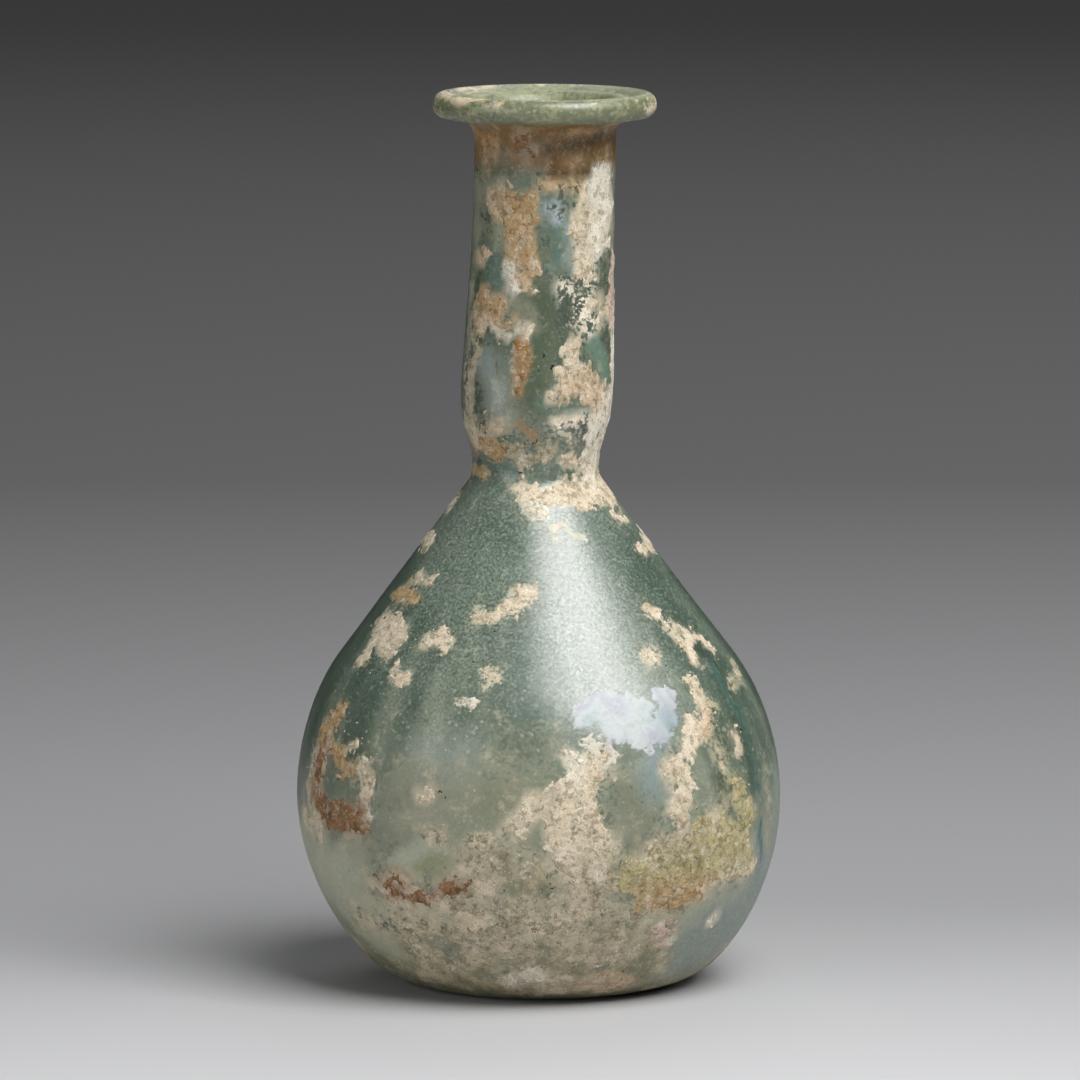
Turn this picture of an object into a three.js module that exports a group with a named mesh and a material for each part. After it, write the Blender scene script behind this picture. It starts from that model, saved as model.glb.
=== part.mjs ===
// A free-blown glass perfume flask: round belly, straight shoulder, swelling neck and rolled rim.
// One piece of glass, hollow from the mouth to the floor. Millimetres, +Z up, standing on its foot ring.
// The origin is on the ground, under the middle of the belly.
import * as THREE from "three";
import { mergeVertices } from "three/addons/utils/BufferGeometryUtils.js";

const height = 132;
const facets = 56; // round the axis

const belly = { radius: 35.7, z: 28.1 };
const shoulderAngle = THREE.MathUtils.degToRad(36.8); // of the shoulder's side, from the axis
const waist = { radius: 9.26, fillet: 3.6 }; // the pinch where the shoulder turns into the neck
const swell = { radius: 11.16, z: 88.9 };
const throat = { radius: 10.35, z: 124.5 };
const rim = { radius: 16.4, thickness: 3.6, round: 1.5 }; // round: how deep its rolled edge is
const foot = { edgeRound: 13, ringInner: 14.4, kick: 2.2 }; // kick: how far the base is pushed in
const wall = { side: 1.6, base: 2.6, floorRound: 11.4 };
const mouth = { seamRadius: 12.6, seamDrop: 0.8, lipRadius: 11.3, lipDrop: 0.65 };

// How far the glass stands off the belly's axis at a few heights: it was blown and worked by eye.
const lean = [
  { z: 0, x: 0.7 },
  { z: belly.z, x: 0 },
  { z: 74, x: -0.5 },
  { z: throat.z, x: 0.95 },
  { z: height, x: 0.9 },
];
const ovalShare = 0.004; // how far from round each level is

// How the bends of the outline run: shares of the bend's height on the neck, millimetres elsewhere.
const neckBend = { root: 0.33, belowSwell: 0.6, aboveSwell: 0.15, belowThroat: 0.6 };
const kickBend = { flat: 6, slope: 10, slopeRise: 0.2 };
const flareBend = { drop: 1, reach: 1 };
const mouthBend = { crestIn: 0.6, seamOut: 0.4, seamRise: 0.2, seamIn: 0.3, lipOut: 0.4, lipIn: 1.4, boreDrop: 2.4 };
const floorBend = { slope: 12, flat: 8 };

// How many straight steps stand for each stretch of the outline.
const outsideSteps = { kick: 5, edge: 4, belly: 15, pinch: 3, neck: 4, flare: 4, roll: 6 };
const insideSteps = { crest: 3, lip: 2, bore: 5, edge: 4, belly: 13, pinch: 3, neck: 4, floor: 4 };
const samePoint = 1e-6;
const weldGap = 1e-4;

const sine = Math.sin(shoulderAngle);
const cosine = Math.cos(shoulderAngle);

const point = (radius, z) => new THREE.Vector2(radius, z);

// Points along a round stretch of the outline, and along a bend with two handles.
function arc(centre, radius, from, to, steps, tall = radius) {
  const clockwise = to < from;
  return new THREE.EllipseCurve(centre.x, centre.y, radius, tall, from, to, clockwise).getPoints(steps);
}

function bend(start, startHandle, endHandle, end, steps) {
  return new THREE.CubicBezierCurve(start, startHandle, endHandle, end).getPoints(steps);
}

// The middle of the pinch's fillet, which touches the shoulder's line and the neck's side.
function pinchCentre() {
  const radius = waist.radius + waist.fillet;
  const onShoulder = belly.radius + waist.fillet + belly.z * sine;
  return point(radius, (onShoulder - radius * cosine) / sine);
}

// The side from the foot's round edge to the throat, moved into the glass by inset.
// ground is the level that the round edge stands on, and edge is that edge's radius.
function side(inset, ground, edge, steps) {
  const radius = belly.radius - inset;
  const pinch = pinchCentre();
  const drop = belly.z - ground - edge;
  const edgeCentre = point(Math.sqrt((radius - edge) ** 2 - drop ** 2), ground + edge);
  const lowest = -Math.asin(drop / (radius - edge));
  const fillet = waist.fillet + inset;
  const neckStart = point(waist.radius - inset, pinch.y);
  const widest = point(swell.radius - inset, swell.z);
  const neckEnd = point(throat.radius - inset, throat.z);
  const rise = widest.y - neckStart.y;
  const run = neckEnd.y - widest.y;
  return [
    ...arc(edgeCentre, edge, -Math.PI / 2, lowest, steps.edge),
    ...arc(point(0, belly.z), radius, lowest, shoulderAngle, steps.belly),
    ...arc(pinch, fillet, Math.PI + shoulderAngle, Math.PI, steps.pinch),
    ...bend(
      neckStart,
      point(neckStart.x, neckStart.y + rise * neckBend.root),
      point(widest.x, widest.y - rise * neckBend.belowSwell),
      widest,
      steps.neck,
    ),
    ...bend(
      widest,
      point(widest.x, widest.y + run * neckBend.aboveSwell),
      point(neckEnd.x, neckEnd.y - run * neckBend.belowThroat),
      neckEnd,
      steps.neck,
    ),
  ];
}

// The outside, from the middle of the pushed-in base up to the rim's highest ring.
function outside() {
  const halfRim = rim.thickness / 2;
  const roll = point(rim.radius - rim.round, height - halfRim);
  const under = point(roll.x, height - rim.thickness);
  const neckTop = point(throat.radius, throat.z);
  const underMiddle = point(0, foot.kick);
  const ring = point(foot.ringInner, 0);
  const steps = outsideSteps;
  return [
    ...bend(underMiddle, point(kickBend.flat, foot.kick), point(kickBend.slope, kickBend.slopeRise), ring, steps.kick),
    ...side(0, 0, foot.edgeRound, steps),
    ...bend(
      neckTop,
      point(throat.radius, under.y - flareBend.drop),
      point(throat.radius + flareBend.reach, under.y),
      under,
      steps.flare,
    ),
    ...arc(roll, rim.round, -Math.PI / 2, Math.PI / 2, steps.roll, halfRim),
  ];
}

// The inside, from the rim's highest ring through the mouth and down to the middle of the floor.
function inside() {
  const crest = point(rim.radius - rim.round, height);
  const seam = point(mouth.seamRadius, height - mouth.seamDrop);
  const lip = point(mouth.lipRadius, height - mouth.lipDrop);
  const bore = point(throat.radius - wall.side, throat.z);
  const steps = insideSteps;
  const down = side(wall.side, wall.base, wall.floorRound, steps);
  const floorEdge = down[0];
  const floorTop = foot.kick + wall.base;
  return [
    ...bend(
      crest,
      point(crest.x - mouthBend.crestIn, height),
      point(seam.x + mouthBend.seamOut, seam.y + mouthBend.seamRise),
      seam,
      steps.crest,
    ),
    ...bend(seam, point(seam.x - mouthBend.seamIn, seam.y), point(lip.x + mouthBend.lipOut, lip.y), lip, steps.lip),
    ...bend(lip, point(lip.x - mouthBend.lipIn, lip.y), point(bore.x, height - mouthBend.boreDrop), bore, steps.bore),
    ...down.reverse(),
    ...bend(
      floorEdge,
      point(floorBend.slope, wall.base),
      point(floorBend.flat, floorTop),
      point(0, floorTop),
      steps.floor,
    ),
  ];
}

// Leaves out the points that two stretches share.
function withoutRepeats(points) {
  return points.filter((p, i) => i === 0 || p.distanceTo(points[i - 1]) > samePoint);
}

// The offset from the axis at a height, running smoothly from one known level to the next.
function leanAt(z) {
  const above = lean.findIndex((level) => level.z >= z);
  if (above <= 0) return lean[Math.max(above, 0)].x;
  const [low, high] = [lean[above - 1], lean[above]];
  return THREE.MathUtils.lerp(low.x, high.x, THREE.MathUtils.smoothstep(z, low.z, high.z));
}

// Turns the outline about the vertical, then leans it and takes it slightly out of round.
function blownGlass() {
  const outline = withoutRepeats([...outside(), ...inside()]);
  outline[0].x = 0;
  outline[outline.length - 1].x = 0;
  const turned = new THREE.LatheGeometry(outline, facets).rotateX(Math.PI / 2);
  const places = turned.getAttribute("position");
  for (let i = 0; i < places.count; i += 1) {
    const z = places.getZ(i);
    const turn = Math.atan2(places.getY(i), places.getX(i));
    const oval = 1 + ovalShare * Math.cos(2 * turn);
    places.setXYZ(i, places.getX(i) * oval + leanAt(z), places.getY(i) / oval, z);
  }
  turned.deleteAttribute("normal");
  turned.deleteAttribute("uv");
  const closed = mergeVertices(turned, weldGap);
  closed.computeVertexNormals();
  return closed;
}

const weatheredGlass = new THREE.MeshStandardMaterial({
  name: "weathered_glass",
  color: new THREE.Color(0.34, 0.45, 0.39),
  roughness: 0.25,
  metalness: 0,
  transparent: true,
  opacity: 0.6,
});

const flask = new THREE.Mesh(blownGlass(), weatheredGlass);
flask.name = "perfume_flask";

const part = new THREE.Group();
part.add(flask);

export default part;
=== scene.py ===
import math

import bpy
import numpy as np
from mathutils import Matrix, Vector, noise


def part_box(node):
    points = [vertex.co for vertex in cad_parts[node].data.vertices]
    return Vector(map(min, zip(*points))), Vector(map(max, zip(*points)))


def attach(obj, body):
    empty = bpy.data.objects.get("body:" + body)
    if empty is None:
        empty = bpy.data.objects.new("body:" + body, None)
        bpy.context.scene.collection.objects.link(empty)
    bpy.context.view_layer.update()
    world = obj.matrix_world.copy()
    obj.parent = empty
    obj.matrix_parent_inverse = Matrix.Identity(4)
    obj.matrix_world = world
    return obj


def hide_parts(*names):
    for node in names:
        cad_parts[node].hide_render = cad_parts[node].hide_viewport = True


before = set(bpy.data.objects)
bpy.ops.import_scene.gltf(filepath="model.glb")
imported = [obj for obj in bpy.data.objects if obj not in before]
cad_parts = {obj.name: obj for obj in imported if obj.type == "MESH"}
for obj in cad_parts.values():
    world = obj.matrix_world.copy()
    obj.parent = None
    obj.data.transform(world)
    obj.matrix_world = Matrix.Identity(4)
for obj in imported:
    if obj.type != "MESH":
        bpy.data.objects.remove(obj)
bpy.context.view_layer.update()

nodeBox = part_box("perfume_flask")
mm = 0.001
noise.seed_set(5)  # vector noise follows the clock without it
print("frame loaded, flask stands", round((nodeBox[1][2] - nodeBox[0][2]) / mm, 1), "mm tall")


camera = {
    "lens": 305.4,
    "away": 1.355,
    "elevation": 7.52,  # degrees, looking down
    "aim": (0.00022, 0.0, 0.0656),
}


def pointAt(thing, target):
    thing.rotation_euler = (Vector(target) - thing.location).to_track_quat("-Z", "Y").to_euler()


def makeCamera():
    eye = bpy.data.objects.new("camera", bpy.data.cameras.new("camera"))
    tilt = math.radians(camera["elevation"])
    eye.location = Vector(camera["aim"]) + camera["away"] * Vector((0, -math.cos(tilt), math.sin(tilt)))
    eye.data.lens = camera["lens"]
    eye.data.clip_start, eye.data.clip_end = 0.01, 50
    pointAt(eye, camera["aim"])
    bpy.context.collection.objects.link(eye)
    bpy.context.scene.camera = eye


makeCamera()


class Value:  # a socket whose operators add Math nodes
    def __init__(self, shader, socket):
        self.shader, self.socket = shader, socket

    def maths(self, operation, *others):
        return self.shader.node("ShaderNodeMath", {"operation": operation}, dict(enumerate(others)))

    def __add__(self, other):
        return self.maths("ADD", self, other)

    def __radd__(self, other):
        return self.maths("ADD", other, self)

    def __sub__(self, other):
        return self.maths("SUBTRACT", self, other)

    def __rsub__(self, other):
        return self.maths("SUBTRACT", other, self)

    def __mul__(self, other):
        return self.maths("MULTIPLY", self, other)

    def __rmul__(self, other):
        return self.maths("MULTIPLY", other, self)

    def __truediv__(self, other):
        return self.maths("DIVIDE", self, other)

    def __pow__(self, other):
        return self.maths("POWER", self, other)

    def over(self, low, high):  # 0 below low, 1 above high, smooth between
        settings = {"interpolation_type": "SMOOTHSTEP"}
        return self.shader.node("ShaderNodeMapRange", settings, {0: self, 1: low, 2: high})

    def clamped(self):
        return self.shader.node("ShaderNodeClamp", {}, {0: self})


class Shader:
    def __init__(self, name):
        self.material = bpy.data.materials.new(name)
        self.material.use_nodes = True
        self.tree = self.material.node_tree
        self.tree.nodes.clear()

    def node(self, kind, settings=None, sockets=None, out=0):
        made = self.tree.nodes.new(kind)
        for key, value in (settings or {}).items():
            if key == "stops":
                ramp = made.color_ramp.elements
                while len(ramp) < len(value):
                    ramp.new(0.5)
                for stop, (place, colour) in zip(ramp, value):
                    stop.position, stop.color = place, (*colour, 1)
            else:
                setattr(made, key, value)
        for key, value in (sockets or {}).items():
            if isinstance(value, Value):
                self.tree.links.new(value.socket, made.inputs[key])
            else:
                made.inputs[key].default_value = value
        return Value(self, made.outputs[out])

    def place(self):
        return self.node("ShaderNodeTexCoord", out="Object")

    def speckle(self, where, size, detail=4.0, rough=0.55, warp=0.0):
        return self.node("ShaderNodeTexNoise", {}, {
            "Vector": where, "Scale": 1 / size, "Detail": detail, "Roughness": rough, "Distortion": warp})

    def blend(self, factor, first, second, way="MIX"):
        settings = {"data_type": "RGBA", "blend_type": way}
        return self.node("ShaderNodeMix", settings, {0: factor, 6: first, 7: second}, out=2)

    def attribute(self, name, out="Fac"):
        return self.node("ShaderNodeAttribute", {"attribute_name": name}, out=out)

    def bump(self, height, strength, distance):
        return self.node("ShaderNodeBump", {}, {"Height": height, "Strength": strength, "Distance": distance})

    def finish(self, surface, volume=None):
        end = self.tree.nodes.new("ShaderNodeOutputMaterial")
        self.tree.links.new(surface.socket, end.inputs["Surface"])
        if volume:
            self.tree.links.new(volume.socket, end.inputs["Volume"])
        return self.material


def rgb(red, green, blue):  # a paint-chip colour, 0 to 255, as scene-linear numbers
    return tuple(((c / 255 + 0.055) / 1.055) ** 2.4 if c > 10 else c / 3294.6 for c in (red, green, blue))


flask = {  # millimetres and degrees
    "height": 132,
    "bellyRadius": 35.7,
    "bellyHeight": 28.1,
    "shoulderAngle": 36.8,
    "waistRadius": 9.26,
    "waistFillet": 3.6,
    "swellRadius": 11.16,
    "swellHeight": 88.9,
    "throatRadius": 10.35,
    "throatHeight": 124.5,
    "rimRadius": 16.4,
    "rimThickness": 3.6,
    "rimRound": 1.5,
    "footRound": 13,
    "ringInner": 14.4,
    "kick": 2.2,
    "wall": 1.6,
    "base": 2.6,
    "floorRound": 11.4,
    "seamRadius": 12.6,
    "seamDrop": 0.8,
    "lipRadius": 11.3,
    "lipDrop": 0.65,
    "neckBend": (0.33, 0.6, 0.15, 0.6),  # handles at its root, below and above the swell, at the throat
    "kickBend": [(6, 2.2), (10, 0.2)],
    "flareBend": 1,
    "floorBend": (12, 8),
    "lean": [(0, 0.7), (28.1, 0), (74, -0.5), (124.5, 0.95), (132, 0.9)],  # height, offset
    "oval": 0.004,
    "facets": 336,
    "ripple": 0.13,  # how far the hand-blown wall wanders
    "rippleSize": 13,
}


def arc(centre, radius, start, end, steps, tall=None):
    turn = np.linspace(start, end, steps + 1)
    return np.column_stack((centre[0] + radius * np.cos(turn), centre[1] + (tall or radius) * np.sin(turn)))


def bend(start, startHandle, endHandle, end, steps):
    t = np.linspace(0, 1, steps + 1)[:, None]
    first, second, third, last = map(np.array, (start, startHandle, endHandle, end))
    return (1 - t) ** 3 * first + 3 * (1 - t) ** 2 * t * second + 3 * (1 - t) * t * t * third + t**3 * last


def straight(start, end, steps):
    t = np.linspace(0, 1, steps + 1)[:, None]
    return (1 - t) * np.array(start) + t * np.array(end)


def sideOutline(inset, ground, edge, steps):
    f = flask
    tilt = math.radians(f["shoulderAngle"])
    radius = f["bellyRadius"] - inset
    drop = f["bellyHeight"] - ground - edge
    lowest = -math.asin(drop / (radius - edge))
    pinch = f["waistRadius"] + f["waistFillet"]
    reach = f["bellyRadius"] + f["waistFillet"] + f["bellyHeight"] * math.sin(tilt)
    pinchHeight = (reach - pinch * math.cos(tilt)) / math.sin(tilt)
    low = (f["waistRadius"] - inset, pinchHeight)
    wide = (f["swellRadius"] - inset, f["swellHeight"])
    top = (f["throatRadius"] - inset, f["throatHeight"])
    rise, run = wide[1] - low[1], top[1] - wide[1]
    root, below, above, throat = f["neckBend"]
    foot = (math.sqrt((radius - edge) ** 2 - drop**2), ground + edge)
    belly = arc((0, f["bellyHeight"]), radius, lowest, tilt, steps["belly"])
    fillet = arc((pinch, pinchHeight), f["waistFillet"] + inset, math.pi + tilt, math.pi, steps["pinch"])
    return np.vstack((
        arc(foot, edge, -math.pi / 2, lowest, steps["edge"]),
        belly,
        straight(belly[-1], fillet[0], steps["cone"]),
        fillet,
        bend(low, (low[0], low[1] + rise * root), (wide[0], wide[1] - rise * below), wide, steps["neck"]),
        bend(wide, (wide[0], wide[1] + run * above), (top[0], top[1] - run * throat), top, steps["neck"] * 2),
    ))


def withoutRepeats(points):
    step = np.linalg.norm(np.diff(points, axis=0), axis=1)
    return points[np.concatenate(([True], step > 1e-6))]


def outsideOutline():
    f = flask
    half = f["rimThickness"] / 2
    roll = (f["rimRadius"] - f["rimRound"], f["height"] - half)
    under = (roll[0], f["height"] - f["rimThickness"])
    top = (f["throatRadius"], f["throatHeight"])
    points = np.vstack((
        bend((0, f["kick"]), *f["kickBend"], (f["ringInner"], 0), 14),
        sideOutline(0, 0, f["footRound"], {"edge": 16, "belly": 62, "cone": 28, "pinch": 8, "neck": 17}),
        bend(top, (top[0], under[1] - f["flareBend"]), (top[0] + f["flareBend"], under[1]), under, 12),
        arc(roll, f["rimRound"], -math.pi / 2, math.pi / 2, 16, tall=half),
    ))
    return withoutRepeats(points)


def insideOutline():
    f = flask
    crest = (f["rimRadius"] - f["rimRound"], f["height"])
    seam = (f["seamRadius"], f["height"] - f["seamDrop"])
    lip = (f["lipRadius"], f["height"] - f["lipDrop"])
    bore = (f["throatRadius"] - f["wall"], f["throatHeight"])
    steps = {"edge": 6, "belly": 20, "cone": 8, "pinch": 4, "neck": 5}
    down = sideOutline(f["wall"], f["base"], f["floorRound"], steps)[::-1]
    middle = f["kick"] + f["base"]
    slope, flat = f["floorBend"]
    points = np.vstack((
        bend(crest, (crest[0] - 0.6, crest[1]), (seam[0] + 0.4, seam[1] + 0.2), seam, 6),
        bend(seam, (seam[0] - 0.3, seam[1]), (lip[0] + 0.4, lip[1]), lip, 6),
        bend(lip, (lip[0] - 1.4, lip[1]), (bore[0], f["height"] - 2.4), bore, 10),
        down,
        bend(down[-1], (slope, f["base"]), (flat, middle), (0, middle), 6),
    ))
    return withoutRepeats(points)


outside, inside = outsideOutline(), insideOutline()
leanHeights, leanOffsets = np.array(flask["lean"], float).T


def leanAt(height):
    level = np.clip(np.searchsorted(leanHeights, height) - 1, 0, len(leanHeights) - 2)
    low, high = leanHeights[level], leanHeights[level + 1]
    t = np.clip((height - low) / (high - low), 0, 1)
    t = t * t * (3 - 2 * t)
    return leanOffsets[level] + (leanOffsets[level + 1] - leanOffsets[level]) * t


def grain(points, size, octaves=4, seed=0.0, rough=0.9):  # fractal noise about 0, for points in mm
    shift = Vector((seed * 17.3, seed * 5.1, seed * 9.7))
    return np.array([noise.fractal(Vector(p) / size + shift, rough, 2.0, octaves) for p in points])


def wander(points, size, octaves=3, seed=0.0):  # three noises at once, to bend a drawn shape with
    shift = Vector((seed * 3.7, seed * 11.9, seed * 6.1))
    return np.array([noise.turbulence_vector(Vector(p) / size + shift, octaves, False) for p in points])


class Side:  # the outside of the glass as a surface: turn in degrees from the front, way up the outline in mm
    def __init__(self, points):
        step = np.diff(points, axis=0)
        self.way = np.concatenate(([0], np.cumsum(np.linalg.norm(step, axis=1))))
        self.points = points
        slope = np.gradient(points, self.way, axis=0)
        slope /= np.linalg.norm(slope, axis=1)[:, None]
        self.normals = np.column_stack((slope[:, 1], -slope[:, 0]))

    def at(self, way):
        columns = (self.points[:, 0], self.points[:, 1], self.normals[:, 0], self.normals[:, 1])
        return [np.interp(way, self.way, column) for column in columns]

    def wayAt(self, height):  # on the stretch above the foot ring
        first = np.searchsorted(self.points[:, 0], flask["ringInner"])
        return np.interp(height, self.points[first:, 1], self.way[first:])

    def place(self, turn, way, stand):
        radius, height, outward, upward = self.at(way)
        angle = np.radians(turn)
        reach = radius + stand * outward
        spot = np.column_stack((reach * np.sin(angle), -reach * np.cos(angle), height + stand * upward))
        return settle(spot, height)


def settle(spot, height):  # the blown wall's own oval, lean and ripple, added to a true round one
    around = np.arctan2(spot[:, 1], spot[:, 0])
    swell = 1 + flask["oval"] * np.cos(2 * around)
    fade = np.interp(height, [0, 6, 70, 80, 120, 132], [0, 1, 1, 0.6, 0.6, 0.25])
    ripple = flask["ripple"] * fade * grain(spot, flask["rippleSize"], 2, seed=1)
    moved = spot.copy()
    moved[:, 0] = (spot[:, 0] + np.cos(around) * ripple) * swell + leanAt(height)
    moved[:, 1] = (spot[:, 1] + np.sin(around) * ripple) / swell
    return moved


side = Side(outside)
print("outline has", len(outside) + len(inside), "points")

# Deposits are laid as strokes: a tone, half the stroke's width in mm, how whole it is (1 is solid,
# 0 is broken into islands), and the places it runs through as (turn from the front, height in mm).
tones = {
    "bone": rgb(232, 224, 206),
    "cream": rgb(214, 199, 174),
    "peach": rgb(208, 184, 154),
    "pink": rgb(206, 182, 164),
    "sand": rgb(178, 168, 142),
    "tan": rgb(184, 154, 112),
    "ochre": rgb(180, 168, 124),
    "amber": rgb(156, 114, 60),
    "rust": rgb(148, 110, 74),
    "brown": rgb(118, 84, 26),
    "umber": rgb(84, 60, 18),
    "olive": rgb(146, 138, 108),
    "moss": rgb(112, 114, 84),
    "haze": rgb(140, 144, 120),
    "drab": rgb(122, 124, 102),
    "pine": rgb(74, 88, 64),
    "pane": rgb(84, 106, 92),
    "jade": rgb(98, 124, 106),
    "mist": rgb(132, 147, 130),
    "leaf": rgb(172, 174, 152),
    "lime": rgb(140, 144, 108),
    "slate": rgb(132, 144, 136),
    "teal": rgb(64, 92, 80),
    "denim": rgb(126, 142, 142),
    "lagoon": rgb(40, 82, 80),
    "ash": rgb(158, 160, 156),
    "silver": rgb(218, 222, 222),
    "lilac": rgb(188, 196, 204),
}

bellyCrust = [
    ("tan", 1.5, 1, [(-67, 38.5), (-62, 37.2), (-57, 37)]),
    ("rust", 2.0, 1, [(-63.5, 36.5), (-66, 33), (-66, 29.5), (-60, 27.6), (-53, 27.4), (-47, 28)]),
    ("cream", 1.0, 1, [(-69, 35), (-69.5, 30), (-66, 26)]),
    ("tan", 0.8, 1, [(-57, 35.8), (-52, 34.3)]),
    ("cream", 1.5, 1, [(-46.5, 35), (-45, 32.5), (-44.5, 29)]),
    ("cream", 1.0, 0.4, [(-74, 25.5), (-66, 25)]),
    ("cream", 0.5, 1, [(-54, 37.5), (-51, 38)]),
    ("cream", 0.5, 0.5, [(-29, 32.3), (-26, 33)]),
    ("sand", 0.9, 0.1, [(-25, 26.5), (-23, 27.5)]),
    ("sand", 1.6, 0.05, [(-18, 24), (-12, 25), (-4, 23)]),
    ("rust", 1.3, 1, [(-39, 18.2), (-35.5, 18.8)]),
    ("rust", 1.0, 1, [(-38, 16.8), (-31, 17), (-26, 17.2), (-20.5, 19)]),
    ("cream", 0.6, 1, [(-38, 15.8), (-34.5, 15.4)]),
    ("cream", 0.5, 1, [(-28.5, 16.7), (-24, 16.2)]),
    ("bone", 1.6, 0.4, [(9, 37.6), (9, 35)]),
    ("cream", 3.5, 1, [(9, 32.6), (9, 30)]),
    ("cream", 4.4, 1, [(9.5, 27), (10.5, 24)]),
    ("sand", 3.6, 0.5, [(14, 21.5), (12, 20)]),
    ("cream", 2.0, 0.6, [(10.5, 18), (10.5, 15.5)]),
    ("cream", 1.5, 0.5, [(0, 31.5), (-4, 29.5), (-6, 28)]),
    ("cream", 1.5, 0.4, [(17, 38.5), (14, 36.5)]),
    ("cream", 1.1, 0.9, [(48, 47.4), (49, 44.8)]),
    ("peach", 1.3, 0.9, [(49, 42.5), (46.5, 41)]),
    ("cream", 1.4, 1, [(43.5, 41), (40, 38.5), (37, 37)]),
    ("cream", 1.2, 0.8, [(34.5, 35.5), (37, 33.5), (37, 31.5)]),
    ("cream", 1.1, 0.8, [(33.5, 30.5), (36, 29), (37, 27)]),
    ("cream", 0.5, 0.5, [(57.5, 40), (58, 37)]),
    ("ochre", 3.4, 0.8, [(24, 20.5), (31, 21.5), (40, 21.8), (50, 22.5), (57, 21.5)]),
    ("sand", 2.6, 0.9, [(30, 24), (36, 24.5)]),
    ("ochre", 2.0, 0.8, [(42, 26.5), (49, 26), (56, 24.5)]),
    ("cream", 1.2, 0.8, [(50, 19.8), (56, 19.8), (62, 19)]),
    ("ochre", 1.6, 0.35, [(55.5, 32), (56.5, 29.5), (58, 27)]),
    ("tan", 2.4, 0.5, [(27, 17.5), (34, 17.5), (43, 18)]),
    ("pink", 1.1, 1, [(33.5, 11.8), (36.5, 11)]),
    ("bone", 0.5, 1, [(38, 10.3)]),
    ("bone", 0.5, 1, [(51, 12)]),
    ("cream", 0.6, 0.5, [(26, 8), (8, 8)]),
    ("peach", 1.2, 0.3, [(16, 3.6), (22, 3.8), (27, 3.2)]),
    ("bone", 1.3, 0.2, [(-9, 4.5), (-2, 5.5)]),
    ("sand", 6.0, -0.12, [(-30, 10), (-12, 11), (5, 12), (20, 13)]),
]

shoulderCrust = [
    ("cream", 2.0, 1, [(-66, 54.5), (-60, 54), (-54, 53)]),
    ("cream", 1.2, 1, [(-64, 52), (-64, 49.5)]),
    ("cream", 1.0, 1, [(-56, 52), (-52, 51)]),
    ("tan", 1.1, 0.6, [(-72, 58.5), (-64, 59.5), (-57, 58.5)]),
    ("cream", 0.9, 1, [(-60, 61.5), (-52, 61)]),
    ("cream", 1.2, 1, [(-38, 53.5), (-34, 54), (-31, 53.6)]),
    ("cream", 0.9, 1, [(-46, 48.6), (-43, 48.3), (-41, 48.6)]),
    ("cream", 1.1, 1, [(-20, 57.1), (-17.5, 57.4)]),
    ("cream", 0.6, 1, [(-15, 57.8), (-10, 58.5)]),
    ("cream", 1.2, 1, [(-8, 58.5), (-5, 60.2), (-3, 60.8)]),
    ("cream", 0.75, 1, [(-15, 49.6), (-13, 49.4)]),
    ("cream", 0.6, 1, [(-13.8, 48.3)]),
    ("tan", 0.9, 1, [(-61, 43), (-66, 40.5), (-67, 38)]),
    ("bone", 0.6, 1, [(-20.3, 45.6)]),
    ("cream", 1.0, 1, [(37, 51.5), (38.5, 51.7)]),
    ("cream", 0.7, 1, [(46, 57.3), (50, 55.6), (53, 53.6)]),
    ("cream", 0.65, 1, [(53, 53.6), (54, 51.6), (57, 50)]),
    ("cream", 0.5, 1, [(52, 54.8), (60, 54), (66, 52), (68, 50.5)]),
    ("cream", 0.5, 1, [(56, 52.3), (61, 52.6)]),
    ("sand", 0.7, 0.5, [(66, 46), (72, 46.5), (77, 48)]),
    ("cream", 0.8, 0.6, [(66, 65), (80, 65), (95, 67)]),
    ("cream", 0.8, 0.6, [(64, 70), (72, 69.5)]),
    ("cream", 0.9, 0.6, [(-95, 72), (-80, 71)]),
    ("cream", 0.9, 0.6, [(-90, 66), (-72, 66)]),
    ("cream", 1.5, 2.4, [(-7, 73.6), (5, 73.0), (20, 72.8)]),
    ("cream", 0.8, 1, [(-16, 74.4), (-10, 74)]),
    ("bone", 1.2, 1, [(-2, 71.8), (3, 71.2)]),
    ("cream", 2.2, 2.6, [(20, 73.4), (45, 73.6), (70, 73.4), (95, 73.4)]),
]

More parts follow.
